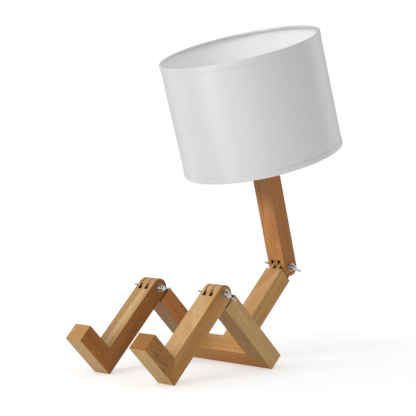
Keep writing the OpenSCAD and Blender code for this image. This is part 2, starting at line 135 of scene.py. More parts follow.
class Tree:
    """A node tree with short ways to add to it. A value is a number, a colour or an output."""

    def __init__(self, tree):
        self.tree = tree

    def node(self, kind, inputs=None, **settings):
        made = self.tree.nodes.new(kind)
        for key, value in settings.items():
            setattr(made, key, value)
        for key, value in (inputs or {}).items():
            if isinstance(value, bpy.types.NodeSocket):
                self.tree.links.new(value, made.inputs[key])
            else:
                made.inputs[key].default_value = value
        return made

    def out(self, kind, inputs=None, output=0, **settings):
        return self.node(kind, inputs, **settings).outputs[output]

    def maths(self, operation, *values, clamp=False):
        return self.out("ShaderNodeMath", dict(enumerate(values)), operation=operation,
                        use_clamp=clamp)

    def times(self, a, b, plus=None):
        """a times b, with a third value added where one is given."""
        if plus is None:
            return self.maths("MULTIPLY", a, b)
        return self.maths("MULTIPLY_ADD", a, b, plus)

    def less(self, a, b):
        return self.maths("SUBTRACT", a, b)

    def vector(self, operation, *values, output=0):
        return self.out("ShaderNodeVectorMath", dict(enumerate(values)), output,
                        operation=operation)

    def between(self, value, low, high, out_low=0.0, out_high=1.0):
        """Eases a value from one range into another."""
        return self.out("ShaderNodeMapRange", {
            "Value": value, "From Min": low, "From Max": high, "To Min": out_low,
            "To Max": out_high}, "Result", interpolation_type="SMOOTHSTEP")

    def blended(self, factor, a, b, how="MIX"):
        """Mixes two colours."""
        a, b = ((*colour, 1) if isinstance(colour, tuple) else colour for colour in (a, b))
        return self.out("ShaderNodeMix", {0: factor, 6: a, 7: b}, 2, data_type="RGBA",
                        blend_type=how)

    def cloudy(self, vector, scale, detail, rough=0.5, output="Fac"):
        return self.out("ShaderNodeTexNoise", {
            "Vector": vector, "Scale": scale, "Detail": detail, "Roughness": rough}, output)

    def stretched(self, vector, x, y, z, at=(0, 0, 0)):
        return self.out("ShaderNodeMapping", {
            "Vector": vector, "Scale": (x, y, z), "Location": at}, "Vector")

    def here(self, kind="Object"):
        return self.out("ShaderNodeTexCoord", output=kind)

    def in_place(self, place):
        """Object coordinates, turned into the frame of the piece that stands at place."""
        return self.out("ShaderNodeMapping", {
            "Vector": self.here(), "Location": place.to_translation(),
            "Rotation": place.to_euler()}, "Vector", vector_type="TEXTURE")

    def facing(self, place, way, both=True):
        """1 on the faces that look along one of the piece's own directions, else 0. With
        both, also on the faces that look the other way."""
        along = place.to_3x3() @ Vector(way)
        level = self.vector("DOT_PRODUCT", self.here("Normal"), along, output="Value")
        return self.between(self.maths("ABSOLUTE", level) if both else level, 0.55, 0.9)

    def bumped(self, height, depth, strength):
        return self.out("ShaderNodeBump", {
            "Height": height, "Distance": depth, "Strength": strength}, "Normal")

    def marked(self, name):
        """What a mesh's own colour attribute says."""
        return self.out("ShaderNodeAttribute", output="Fac", attribute_name=name)

    def wired(self, **values):
        """Joins outputs to the finish's shader and gives the finished material."""
        for key, value in values.items():
            self.tree.links.new(value, self.shader.inputs[key.replace("_", " ")])
        return self.material


def finish_named(name, **constants):
    """A new finish, with what is the same all over it set on the shader's own sockets."""
    material = bpy.data.materials.new(name)
    material.use_nodes = True
    t = Tree(material.node_tree)
    t.tree.nodes.clear()
    t.material = material
    t.shader = t.node("ShaderNodeBsdfPrincipled", {
        key.replace("_", " "): value for key, value in constants.items()})
    t.node("ShaderNodeOutputMaterial", {"Surface": t.shader.outputs[0]})
    return t


# Finishes
LATE_RING = 0.42          # the narrow rings' width, as a share of the broad bands'
FLECK_SHADE = 0.26
KNOT_SHADE = 0.6
# Eased strips are painted lighter: a painted highlight along the edges, with the wood worn paler
# there.
EDGE_SHINE = 0.08
# How much darker the slots' walls and floors are painted: painted shade in the joints.
PAINTED_SLOT_SHADE = 0.74


def timber(name, place, pith, tilt, seed, pale, dark, flank, end=(0.96, 0.92, 0.88),
           low=(1, 1, 1), band=9 * MM, bands=0.8, lines=0.3, heart=None, dashes=0.0, knot=None,
           toast=None):
    """Planed timber under a thin satin coat. The growth rings are cylinders round the
    pith, which lies off the beam and leans a little against it. pale and dark are the
    light and the dark wood; end tints the end grain. flank tints the faces that look along
    the beam's X with their edge-grain tone and with painted shade for how the light falls
    on them, and low is painted shade on the face that looks along the beam's -Z. heart is
    a broad dark band at a distance from the pith, as (distance, half its width, depth).
    knot is (middle, radius). The last argument is a painted shadow that darkens the flat
    faces along the beam: where it begins and ends, and how deep, as (from, to, depth)."""
    t = finish_named(name, Specular_IOR_Level=0.22, Coat_Weight=0.04, Coat_Roughness=0.34)
    lean = place @ shifted(pith[0], 0, pith[1]) @ turned("X", tilt[0])
    where = t.in_place(lean @ turned("Z", tilt[1]))
    reach, spot = ring_reach(t, where, seed, knot)
    mix = t.times(grown_rings(t, reach, band, seed[0]), bands)
    mix = t.times(late_lines(t, reach, band * LATE_RING, seed[1]), lines, mix)
    if heart is not None:
        off = t.maths("ABSOLUTE", t.less(reach, heart[0]))
        mix = t.maths("ADD", mix, t.between(off, heart[1] * 0.3, heart[1], heart[2], 0.0))
    colour = t.blended(t.maths("ADD", mix, 0.0, clamp=True), pale, dark)
    # flank is edge-grain tone with painted shade; low is painted shade.
    for way, tint, both in (
            ((0, 1, 0), end, True), ((1, 0, 0), flank, True), ((0, 0, -1), low, False)):
        colour = t.blended(t.facing(place, way, both), colour, tint, "MULTIPLY")

    def along_grain(across, along, detail, rough):
        return t.cloudy(t.stretched(where, across, along, across, seed), 1, detail, rough)

    fibre = along_grain(1700, 60, 2, 0.6)
    streak = along_grain(260, 9, 3, 0.6)
    fleck = t.between(along_grain(1100, 190, 1, 0.5), 0.6, 0.7)
    marks = [(fleck, -FLECK_SHADE)]
    if dashes:
        patch = t.between(t.cloudy(where, 42, 1), 0.34, 0.52)
        dash = t.times(t.between(along_grain(840, 24, 1, 0.4), 0.53, 0.61), patch)
        marks.append((t.times(dash, t.facing(place, (1, 0, 0))), -dashes))
    # Painted shadow: the flat faces darken along the beam where a shadow falls.
    if toast is not None:
        along = t.out("ShaderNodeSeparateXYZ", {0: t.in_place(place)}, "Y")
        shadow_fade = t.between(along, toast[0], toast[1], 0.0, toast[2])
        marks.append((t.times(shadow_fade, t.facing(place, (0, 0, 1))), -1.0))
    if knot is not None:
        marks.append((t.between(spot, 0.0, knot[1], 1.0, 0.0), -KNOT_SHADE))
    # Eased strips get their painted highlight, and slot walls and floors their painted shade.
    marks += [(t.marked("eased"), EDGE_SHINE), (t.marked("sawn"), -PAINTED_SLOT_SHADE)]
    light = t.times(t.between(streak, 0.3, 0.7, 0.89, 1.08),
                    t.between(fibre, 0.2, 0.8, 0.95, 1.05))
    for mark, change in marks:
        light = t.times(light, t.times(mark, change, 1.0))
    relief = t.times(fleck, -0.8, t.times(mix, 0.5, fibre))
    return t.wired(
        Base_Color=t.out("ShaderNodeVectorMath", {0: colour, "Scale": light}, operation="SCALE"),
        Roughness=t.between(streak, 0.2, 0.8, 0.46, 0.6),
        Normal=t.bumped(relief, 0.05 * MM, 0.5))


def ring_reach(t, where, seed, knot):
    """How far a point is from the pith, with the rings' wavering in it, and how far it is
    from the knot, round which the rings bend."""
    sway = t.cloudy(t.stretched(where, 24, 8, 24, seed), 1, 3, output="Color")
    sway = t.vector("ADD", sway, (-0.5, -0.5, -0.5))
    swayed = t.vector("MULTIPLY_ADD", sway, (16 * MM, 0, 16 * MM), where)
    reach = t.vector("LENGTH", t.vector("MULTIPLY", swayed, (1, 0, 1)), output="Value")
    if knot is None:
        return reach, None
    spot = t.vector("DISTANCE", t.here(), knot[0], output="Value")
    near = t.between(spot, 0.0, knot[1] * 3.2, 1.0, 0.0)
    return t.times(near, knot[1] * 2.6, reach), spot


def grown_rings(t, reach, band, seed):
    """Broad pale and dark bands, as the years of growth were fat or lean."""
    level = t.out("ShaderNodeTexNoise", {
        "W": t.times(reach, 1 / band, seed * 7.3), "Scale": 1.0, "Detail": 3.0,
        "Roughness": 0.62}, noise_dimensions="1D")
    return t.between(level, 0.28, 0.72)


def late_lines(t, reach, ring, seed):
    """Each ring darkens slowly and ends in a narrow line of late wood."""
    phase = t.maths("FRACT", t.times(reach, 1 / ring, seed * 3.1))
    line = t.node("ShaderNodeValToRGB", {"Fac": phase})
    ramp = line.color_ramp
    ramp.interpolation = "EASE"
    for at, level in ((0.0, 0.3), (0.14, 0.0), (0.5, 0.16), (0.84, 1.0), (1.0, 0.3)):
        stop = ramp.elements.new(at) if at not in (0.0, 1.0) else ramp.elements[int(at)]
        stop.position, stop.color = at, (level, level, level, 1)
    return line.outputs["Color"]


def dowel_timber():
    t = finish_named("dowel_timber")
    fibre = t.cloudy(t.here(), 900, 3, 0.6)
    return t.wired(Base_Color=t.blended(fibre, (0.62, 0.45, 0.25), (0.5, 0.34, 0.18)),
                   Roughness=t.between(fibre, 0.2, 0.8, 0.5, 0.65))


def bright_metal(name, colour, worn, rough):
    """Plated metal with a cast or drawn skin: small dents, and dull patches from handling."""
    t = finish_named(name, Metallic=1.0)
    where = t.here()
    patch = t.between(t.cloudy(where, 260, 3, 0.6), 0.35, 0.7)
    return t.wired(Base_Color=t.blended(patch, colour, worn),
                   Roughness=t.times(patch, 0.14, rough),
                   Normal=t.bumped(t.cloudy(where, 1260, 2), 0.01 * MM, 0.4))


def moulded(name, colour, rough, mark=0.06):
    """Moulded plastic or glazed ceramic, with a faint uneven skin."""
    t = finish_named(name, Specular_IOR_Level=0.45)
    where = t.here()
    cloud = t.cloudy(where, 90, 4, 0.6)
    shadow = tuple(part * (1 - mark) for part in colour)
    return t.wired(Base_Color=t.blended(cloud, colour, shadow),
                   Roughness=t.between(cloud, 0.3, 0.7, rough, rough + 0.1),
                   Normal=t.bumped(t.cloudy(where, 1600, 2), 0.01 * MM, 0.5))


def enamelled_wire():
    t = finish_named("white_enamel", Coat_Weight=0.3, Coat_Roughness=0.2)
    where = t.here()
    cloud = t.cloudy(where, 140, 3, 0.6)
    return t.wired(Base_Color=t.blended(cloud, (0.82, 0.82, 0.8), (0.76, 0.76, 0.73)),
                   Roughness=t.between(cloud, 0.3, 0.7, 0.3, 0.42),
                   Normal=t.bumped(t.cloudy(where, 700, 2), 0.03 * MM, 0.6))


def satin_cloth():
    """Satin weave. The UV map is in metres: U runs round the drum and V up it."""
    t = finish_named("satin_cloth", Specular_IOR_Level=0.8, Metallic=0.3, Anisotropic=0.9,
                     Anisotropic_Rotation=0.25, Sheen_Weight=0.1, Sheen_Roughness=0.45)
    pale, shaded = (0.682, 0.696, 0.684), (0.632, 0.646, 0.634)
    rough, slub, thread = 0.45, 0.18, 0.3 * MM
    flat = t.out("ShaderNodeUVMap", output="UV", uv_map="cloth")
    warp = t.cloudy(t.stretched(flat, 1.6 / MM, 0.03 / MM, 1), 1, 2, 0.6)
    weft = t.cloudy(t.stretched(flat, 0.03 / MM, 1.4 / MM, 1), 1, 2, 0.6)
    wide = t.cloudy(t.stretched(flat, 14, 9, 1), 1, 3, 0.55)
    rounds, rises = (t.out("ShaderNodeTexWave", {
        "Vector": t.stretched(flat, x / thread, y / thread, 0), "Scale": 0.32,
        "Distortion": 0.0}, "Fac", bands_direction=way)
        for way, x, y in (("X", 1, 0), ("Y", 0, 1)))
    cell = t.times(rounds, rises)
    yarn = t.times(warp, 0.65, t.times(weft, 0.35))
    tone = t.between(yarn, 0.35, 0.65, 0.5 - slub, 0.5 + slub)
    tone = t.times(wide, 0.22, tone)
    tone = t.maths("MULTIPLY_ADD", cell, 0.05, tone, clamp=True)
    return t.wired(
        Base_Color=t.blended(tone, shaded, pale),
        Roughness=t.between(yarn, 0.3, 0.7, rough, rough + 0.08),
        Normal=t.bumped(t.times(yarn, 0.8, cell), 0.03 * MM, 0.35),
        Tangent=t.out("ShaderNodeTangent", direction_type="UV_MAP", uv_map="cloth"))


def liner_film():
    """Stiff white film behind the cloth, with the cloth's threads just showing through."""
    t = finish_named("liner_film", Specular_IOR_Level=0.35)
    where = t.in_place(SHADE)
    cloud = t.cloudy(t.stretched(where, 22, 22, 9), 1, 3, 0.6)
    speck = t.cloudy(where, 1100, 2)
    tone = t.times(speck, 0.3, t.times(cloud, 0.7))
    return t.wired(Base_Color=t.blended(tone, (0.9, 0.91, 0.91), (0.94, 0.95, 0.95)),
                   Roughness=t.between(cloud, 0.3, 0.7, 0.5, 0.62),
                   Normal=t.bumped(speck, 0.02 * MM, 0.4))


def opal_glass():
    t = finish_named("opal_glass", Coat_Weight=0.6, Coat_Roughness=0.08, Subsurface_Weight=0.25,
                     Subsurface_Scale=0.004, Subsurface_Radius=(1.0, 1.0, 0.95))
    cloud = t.cloudy(t.here(), 40, 2)
    return t.wired(Base_Color=t.blended(cloud, (0.86, 0.86, 0.84), (0.81, 0.81, 0.79)),
                   Roughness=t.between(cloud, 0.3, 0.7, 0.22, 0.3))


def pale_floor():
    """A pale sweep that glows more towards its edge, so that it meets a white room."""
    t = finish_named("pale_floor", Roughness=0.9, Specular_IOR_Level=0.1,
                     Emission_Color=(1, 1, 1, 1))
    where = t.here()
    far = t.vector("LENGTH", where, output="Value")
    cloud = t.cloudy(where, 1.5, 2)
    return t.wired(Base_Color=t.blended(cloud, (0.61, 0.61, 0.605), (0.63, 0.63, 0.625)),
                   Emission_Strength=t.between(far, 0.15, FLOOR_R * 0.7, 0.48, 0.8))


# Mesh helpers
def in_scene(name, data):
    made = bpy.data.objects.new(name, data)
    bpy.context.scene.collection.objects.link(made)
    return made


def placed(name, mesh, finish, body, node, crease=30):
    """Makes a mesh a piece that stands in for a node of the solid model and rides on a body."""
    piece = in_scene(name, mesh)
    mesh.name = name
    dress(mesh, finish)
    mesh.shade_smooth()
    if crease:
        mesh.set_sharp_from_angle(angle=math.radians(crease))
    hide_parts(node)
    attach(piece, body)
    return piece


def dress(mesh, finish):
    mesh.materials.clear()
    mesh.materials.append(finish)


def as_mesh(shape, place=Matrix()):
    """Turns a bmesh into a mesh with its place in it."""
    shape.transform(place)
    mesh = bpy.data.meshes.new("mesh")
    shape.to_mesh(mesh)
    shape.free()
    return mesh


def merged(shape, gap=SAME):
    bmesh.ops.remove_doubles(shape, verts=shape.verts, dist=gap)


def cleaned(shape, gap=SAME):
    """Merges doubled points and takes out what has shrunk to nothing."""
    merged(shape, gap)
    bmesh.ops.dissolve_degenerate(shape, dist=NOTHING, edges=shape.edges)


def closed_mesh(shape, place):
    """The mesh of a closed solid, with its faces pointing outwards."""
    merged(shape)
    bmesh.ops.recalc_face_normals(shape, faces=shape.faces)
    return as_mesh(shape, place)


def eased_outline(points, radius):
    """Rounds each corner of a closed outline of [radius, height] points, in three steps. A
    point may carry its own corner's radius as a third number."""
    out = []
    for i, point in enumerate(points):
        here, own = Vector(point[:2]), (point[2] if len(point) > 2 else radius)
        before = Vector(points[i - 1][:2]) - here
        after = Vector(points[(i + 1) % len(points)][:2]) - here
        if here.x < NOTHING or own <= 0:
            out.append(here)
            continue
        half = before.angle(after) / 2
        back = min(own / math.tan(half), before.length * 0.45, after.length * 0.45)
        start, end = here + before.normalized() * back, here + after.normalized() * back
        for k in range(4):
            t = k / 3
            out.append(start * (1 - t) ** 2 + here * 2 * t * (1 - t) + end * t * t)
    return out


def lathe(points, place, radius=0.2 * MM, steps=96):
    """A closed outline turned about its own Z."""
    outline = eased_outline(points, radius)
    shape = bmesh.new()
    rows = []
    for k in range(steps):
        turn = 2 * math.pi * k / steps
        rows.append([shape.verts.new(turned_point(p.x, turn, p.y)) for p in outline])
    for k in range(steps):
        a, b = rows[k], rows[(k + 1) % steps]
        for i in range(len(outline)):
            j = (i + 1) % len(outline)
            if outline[i].x > NOTHING or outline[j].x > NOTHING:
                shape.faces.new((a[i], a[j], b[j], b[i]))
    cleaned(shape)
    return closed_mesh(shape, place)


def turned_point(radius, turn, height):
    return Vector((radius * math.cos(turn), radius * math.sin(turn), height))


def joined(meshes):
    """One mesh out of several, none of them kept."""
    shape = bmesh.new()
    for mesh in meshes:
        shape.from_mesh(mesh)
        bpy.data.meshes.remove(mesh)
    return as_mesh(shape)


def cad_copy(node):
    """The merged mesh of a CAD node, as a bmesh."""
    shape = bmesh.new()
    shape.from_mesh(NODES[node].data)
    cleaned(shape, 2 * SAME)
    return shape


def made_plain(blank):
    """The mesh that an object's modifiers give; the object itself isn't kept."""
    bpy.context.view_layer.update()
    ready = blank.evaluated_get(bpy.context.evaluated_depsgraph_get())
    mesh = bpy.data.meshes.new_from_object(ready)
    blank.modifiers.clear()
    bpy.data.objects.remove(blank)
    return mesh


def grown(tree_maker, finish, place=Matrix(), **sizes):
    """Runs a Geometry Nodes tree with its named sizes and gives the result as a plain mesh."""
    tree = tree_maker(finish)
    blank = in_scene("blank", bpy.data.meshes.new("blank"))
    run = blank.modifiers.new("shape", "NODES")
    run.node_group = tree
    sockets = {item.name: item.identifier for item in tree.interface.items_tree}
    for size, value in sizes.items():
        run[sockets[size]] = value
    mesh = made_plain(blank)
    mesh.transform(place)
    return mesh


def new_tree(name, sizes):
    """A Geometry Nodes tree with one named input for each size."""
    t = Tree(bpy.data.node_groups.new(name, "GeometryNodeTree"))
    new_socket = t.tree.interface.new_socket
    new_socket("Geometry", in_out="OUTPUT", socket_type="NodeSocketGeometry")
    for size, value in sizes.items():
        kind = "NodeSocketInt" if isinstance(value, int) else "NodeSocketFloat"
        new_socket(size, in_out="INPUT", socket_type=kind).default_value = value
    return t, t.node("NodeGroupInput").outputs


def end_tree(t, geometry, finish):
    real = t.out("GeometryNodeRealizeInstances", {"Geometry": geometry})
    dressed = t.out("GeometryNodeSetMaterial", {"Geometry": real, "Material": finish})
    t.node("NodeGroupOutput", {"Geometry": dressed})
    return t.tree


def thread_tree(finish):
    """A wall turned about Z whose radius rises and falls along a helix. With Capped at 1
    its two ends close on the axis."""
    t, size = new_tree("helical_thread", {
        "Crest": 5 * MM, "Depth": 0.5 * MM, "Pitch": 1 * MM, "Length": 10 * MM,
        "Round": 1.0, "Fade": 1 * MM, "Capped": 0.0, "Steps": 96, "Rows": 120,
    })
    wall = t.out("GeometryNodeMeshGrid", {
        "Size X": 1.0, "Size Y": 1.0, "Vertices X": t.maths("ADD", size["Steps"], 1),
        "Vertices Y": size["Rows"]}, "Mesh")
    spot = t.node("ShaderNodeSeparateXYZ", {0: t.out("GeometryNodeInputPosition")}).outputs
    turn = t.maths("ADD", spot[0], 0.5)
    part = t.maths("ADD", spot[1], 0.5)
    height = t.times(part, size["Length"])
    ride = t.less(t.maths("DIVIDE", height, size["Pitch"]), turn)
    sharp = t.times(t.maths("PINGPONG", ride, 0.5), 2)
    soft = t.times(t.maths("COSINE", t.times(ride, 2 * math.pi)), -0.5, 0.5)
    wave = t.out("ShaderNodeMix", {0: size["Round"], 2: sharp, 3: soft})
    low = t.maths("DIVIDE", height, size["Fade"], clamp=True)
    high = t.maths("DIVIDE", t.less(size["Length"], height), size["Fade"], clamp=True)
    groove = t.less(1, t.times(wave, t.times(low, high)))
    radius = t.less(size["Crest"], t.times(groove, size["Depth"]))
    inside = t.maths("GREATER_THAN", t.times(part, t.less(1, part)), 1e-6)
    radius = t.times(radius, t.maths("MAXIMUM", inside, t.less(1, size["Capped"])))
    angle = t.times(turn, 2 * math.pi)
    place = t.out("ShaderNodeCombineXYZ", {
        0: t.times(radius, t.maths("COSINE", angle)),
        1: t.times(radius, t.maths("SINE", angle)), 2: height})
    bent = t.out("GeometryNodeSetPosition", {"Geometry": wall, "Position": place})
    shut = t.out("GeometryNodeMergeByDistance", {"Geometry": bent, "Distance": SAME})
    return end_tree(t, shut, finish)


def threaded(place, finish, inner=None, **sizes):
    """A threaded wall from the helical tree; inner gives it a plain bore of that radius."""
    mesh = grown(thread_tree, finish, **sizes)
    shape = bmesh.new()
    shape.from_mesh(mesh)
    bpy.data.meshes.remove(mesh)
    merged(shape)
    if inner is not None:
        add_bore(shape, inner)
    return closed_mesh(shape, place)


def open_rims(shape):
    return [edge for edge in shape.edges if edge.is_boundary]


def add_bore(shape, radius):
    """Joins a plain bore to the open ends of a turned wall."""
    made = bmesh.ops.extrude_edge_only(shape, edges=open_rims(shape))["geom"]
    for vert in made:
        if isinstance(vert, bmesh.types.BMVert):
            far = math.hypot(vert.co.x, vert.co.y)
            vert.co.x *= radius / far
            vert.co.y *= radius / far
    bmesh.ops.bridge_loops(shape, edges=open_rims(shape))


# Timber
EASE_W = 0.5 * MM
PLAY = 1.1 * MM


def is_eased(edge, least):
    """Only the beam's own corners are eased: no drilled hole, and no heel's narrow flat."""
    if len(edge.link_faces) != 2 or edge.calc_face_angle(0) < math.radians(least):
        return False
    length = edge.calc_length()
    narrow = min(face.calc_area() for face in edge.link_faces)
    return length > 1.1 * MM and not (length > 20 * MM and narrow < 40 * MM * MM)


def soften(shape, width, least=24, every=False, spared=None):
    """Eases the corners of a solid and marks the eased strips. least is the smallest bend
    that counts as a corner, in degrees; with every, short and narrow corners count too.
    spared tells which edges stay as the saw left them."""
    bmesh.ops.dissolve_limit(
        shape, angle_limit=math.radians(0.6), verts=shape.verts, edges=shape.edges)
    sharp = [edge for edge in shape.edges if is_eased(edge, least) or (
        every and edge.calc_face_angle(0) > math.radians(least))]
    if spared is not None:
        sharp = [edge for edge in sharp if not spared(edge)]
    made = bmesh.ops.bevel(
        shape, geom=sharp, offset=width, offset_type="OFFSET", segments=2, profile=0.5,
        affect="EDGES", clamp_overlap=False)
    strips = {face for face in made["faces"] if face.is_valid}
    mark_faces(shape, "eased", lambda face: face in strips)


def mark_faces(shape, name, chosen):
    """Writes a colour attribute that is white on the chosen faces and black elsewhere."""
    layer = shape.loops.layers.float_color.new(name)
    for face in shape.faces:
        level = 1.0 if chosen(face) else 0.0
        for loop in face.loops:
            loop[layer] = (level, level, level, 1)


def loosen_tongues(shape, mid):
    """Sands one cheek of each of the two tongues, so that the joints show a dark line."""
    for vert in shape.verts:
        for layer in (1, 3):
            if abs(vert.co.x - mid + BEAM_W / 2 - layer * BEAM_W / 5) < 0.2 * MM:
                vert.co.x += PLAY


def in_joint(edge, place, mid):
    """Whether an edge runs between the tongues of a finger joint."""
    ends = [place.inverted() @ vert.co - Vector((mid, 0, 0)) for vert in edge.verts]
    return all(abs(end.x) < BEAM_W / 2 - 0.4 * MM and math.hypot(end.y, end.z) < BEAM_W
               for end in ends)


def mark_slot_shade(shape, place, mid):
    """Marks what the saw left inside a finger joint: the slots' walls and floors. The finish
    darkens them as painted shade inside the joint.
    """
    to_beam = place.inverted()

    def sawn(face):
        spot = to_beam @ face.calc_center_median()
        rounded = spot.y < 0 and math.hypot(spot.y, spot.z) > BEAM_T / 2 - 0.5 * MM
        return (abs(spot.x - mid) < BEAM_W / 2 - 0.3 * MM and abs(spot.z) < BEAM_T / 2 - 0.4 * MM
                and abs(spot.y) < SLOT_REACH + 1 * MM and not rounded)

    mark_faces(shape, "sawn", sawn)


def beam(node, body, place, mid, *board, jointed=True, tongued=False, **grain):
    """A planed beam with lightly eased edges. place is its frame, from the axis of its
    finger joint where it has one, and mid is its middle along X. board and grain are what
    timber() takes for the board it is sawn from."""
    finish = timber(node.replace("_beam", "") + "_timber", place @ shifted(mid, 0, 0), *board,
                    **grain)
    shape = cad_copy(node)
    if tongued:
        loosen_tongues(shape, mid)
    soften(shape, EASE_W, spared=(lambda edge: in_joint(edge, place, mid)) if jointed else None)
    if jointed:
        mark_slot_shade(shape, place, mid)
    placed("planed_" + node, as_mesh(shape), finish, body, node, crease=24)


def leg_timbers():
    """The two legs are sawn from different boards; the left one is the paler. The right leg's
    darker side faces also carry painted shade, for the shade between the legs.
    """
    left = (LEG_GAP + BEAM_W) / 2
    right = -left
    beam("left_shin", "left_leg", SHIN, left, (0.01, 0.052), (5.5, 2.4), (3.1, 1.7, 8.2),
         (0.67, 0.45, 0.21), (0.53, 0.3, 0.112), (0.705, 0.57, 0.36), band=11 * MM,
         bands=0.75, heart=(62.5 * MM, 9 * MM, 0.8))
    beam("left_foot", "left_leg", FOOT, left, (-0.045, 0.022), (2.5, -3.2), (9.4, 4.2, 2.2),
         (0.594, 0.376, 0.127), (0.418, 0.217, 0.058), (0.63, 0.46, 0.325), (0.64, 0.41, 0.215),
         (0.81, 0.81, 0.84), band=8 * MM, bands=0.6, lines=0.25, dashes=0.52, jointed=False)
    beam("left_thigh", "seat", THIGH, left, (0.03, -0.09), (-2.6, 2.0), (5.7, 6.1, 1.3),
         (0.6, 0.42, 0.22), (0.515, 0.341, 0.161), (0.806, 0.71, 0.56),
         low=(0.475, 0.34, 0.155), band=7 * MM, bands=0.6, lines=0.25, tongued=True)
    # Its painted shadow darkens the shin towards the heel.
    beam("right_shin", "right_leg", SHIN, right, (0.045, 0.03), (1.4, 1.0), (10.1, 1.7, 8.2),
         (0.64, 0.425, 0.203), (0.44, 0.245, 0.091), (0.52, 0.305, 0.118), band=10 * MM,
         bands=0.7, lines=0.35, heart=(74 * MM, 10 * MM, 0.9), toast=(66 * MM, 112 * MM, 0.26))
    beam("right_foot", "right_leg", FOOT, right, (-0.045, 0.029), (2.5, -3.2), (9.4, 11.2, 2.2),
         (0.549, 0.343, 0.143), (0.392, 0.208, 0.068), (0.64, 0.4, 0.176), (0.97, 0.8, 0.64),
         (0.88, 0.87, 0.89), band=8 * MM, bands=0.6, jointed=False)
    beam("right_thigh", "seat", THIGH, right, (0.03, -0.097), (-2.6, 2.0), (5.7, 6.1, 8.3),
         (0.69, 0.42, 0.18), (0.4, 0.182, 0.052), (0.826, 0.594, 0.384),
         low=(0.48, 0.44, 0.38), band=6 * MM, lines=0.6, tongued=True)


def timbers():
    leg_timbers()
    knot = (THIGH @ Vector((-21 * MM, 127 * MM, BEAM_T / 2)), 1.6 * MM)
    beam("seat_bar", "seat", SEAT_BAR, 0, (0.004, 0.055), (2.0, 3.4), (2.4, 8.8, 5.5),
         (0.6, 0.36, 0.14), (0.49, 0.258, 0.081), (1.0, 0.92, 0.8),
         low=(0.64, 0.465, 0.26), band=8 * MM, bands=0.7, knot=knot, jointed=False)
    beam("torso_beam", "seat", TORSO, 0, (-0.018, 0.085), (3.0, -2.0), (7.2, 3.9, 6.4),
         (0.605, 0.343, 0.142), (0.484, 0.247, 0.083), (0.78, 0.775, 0.64), tongued=True)
    # Its painted shadow darkens the neck's top under the shade.
    beam("neck_beam", "head", NECK, 0, (0.03, 0.07), (2.8, 2.4), (1.1, 5.3, 9.7),
         (0.578, 0.266, 0.083), (0.414, 0.165, 0.04), (0.69, 0.62, 0.56), band=7 * MM,
         bands=0.7, lines=0.35, toast=(78 * MM, 124 * MM, 0.48))
    plain = dowel_timber()
    for node in ("left_heel_dowels", "right_heel_dowels", "seat_dowels", "torso_dowels"):
        dress(NODES[node].data, plain)


# Wing screws, washers and wing nuts
def cast(shape):
    """Gives a hard-edged solid the filled corners and rounded edges of a casting. The
    work is done at a hundred times the size, where the remesher is exact."""
    grow = 100
    blank = in_scene("blank", as_mesh(shape, Matrix.Scale(grow, 4)))
    fine = blank.modifiers.new("fine", "REMESH")
    fine.mode, fine.voxel_size = "VOXEL", 0.24 * MM * grow
    calm = blank.modifiers.new("calm", "SMOOTH")
    calm.iterations, calm.factor = 6, 0.6
    made = made_plain(blank)
    made.transform(Matrix.Scale(1 / grow, 4))
    return made


def on_axis(place, x):
    """The frame of a turned piece on a joint's axis, with its Z pointing along X from x."""
    return place @ shifted(x, 0, 0) @ turned("Y", 90)


def wing_screw(joint, place, x, body, metal):
    """A cast winged head against its washer, and a threaded shank through the beam."""
    node = joint + "_wing_screw"
    head = cad_copy(node)
    cut, root = x - WASHER_T, 0.4 * MM
    rest = head.verts[:] + head.edges[:] + head.faces[:]
    bmesh.ops.bisect_plane(head, geom=rest, plane_co=(cut, 0, 0), plane_no=(1, 0, 0),
                           clear_outer=True)
    bmesh.ops.holes_fill(head, edges=open_rims(head))
    shank = threaded(on_axis(place, cut - root), metal, Crest=SCREW_R, Depth=0.42 * MM,
                     Pitch=SCREW_PITCH, Length=BEAM_W + WASHER_T + SCREW_END + root, Round=0.0,
                     Fade=0.9 * MM, Capped=1.0, Steps=36, Rows=330)
    mesh = joined([cast(head), shank])
    placed("cast_" + node, mesh, metal, body, node, crease=35)


def wing_nut(joint, body, metal):
    node = joint + "_wing_nut"
    placed("cast_" + node, cast(cad_copy(node)), metal, body, node, crease=45)


def washer(joint, place, x, part, body, metal):
    """A pressed washer: rounded on one side, with a slight burr on the other."""
    node = joint + "_" + part
    mesh = lathe([
        (SCREW_HOLE_R, 0), (WASHER_R, 0, 0.08 * MM), (WASHER_R, WASHER_T, 0.35 * MM),
        (SCREW_HOLE_R, WASHER_T, 0.3 * MM)], on_axis(place, x), 0.1 * MM, 64)
    placed("pressed_" + node, mesh, metal, body, node)


def joint_hardware():
    metal = bright_metal("bright_zinc", (0.7, 0.69, 0.67), (0.46, 0.45, 0.43), 0.24)
    # The washers are coloured darker than the nuts: painted shade for the shadow that the wings
    # cast round the hub.
    plate = bright_metal("washer_zinc", (0.4, 0.39, 0.37), (0.28, 0.27, 0.25), 0.24)
    inside, outside = LEG_GAP / 2, LEG_GAP / 2 + BEAM_W
    for joint, place, x, body in (
            ("left_knee", KNEE, inside, "left_leg"), ("right_knee", KNEE, -outside, "right_leg"),
            ("waist", WAIST, -BEAM_W / 2, "head")):
        wing_screw(joint, place, x, body, metal)
        washer(joint, place, x - WASHER_T, "head_washer", body, plate)
        washer(joint, place, x + BEAM_W, "nut_washer", joint + "_washer", plate)
        wing_nut(joint, joint + "_nut", metal)


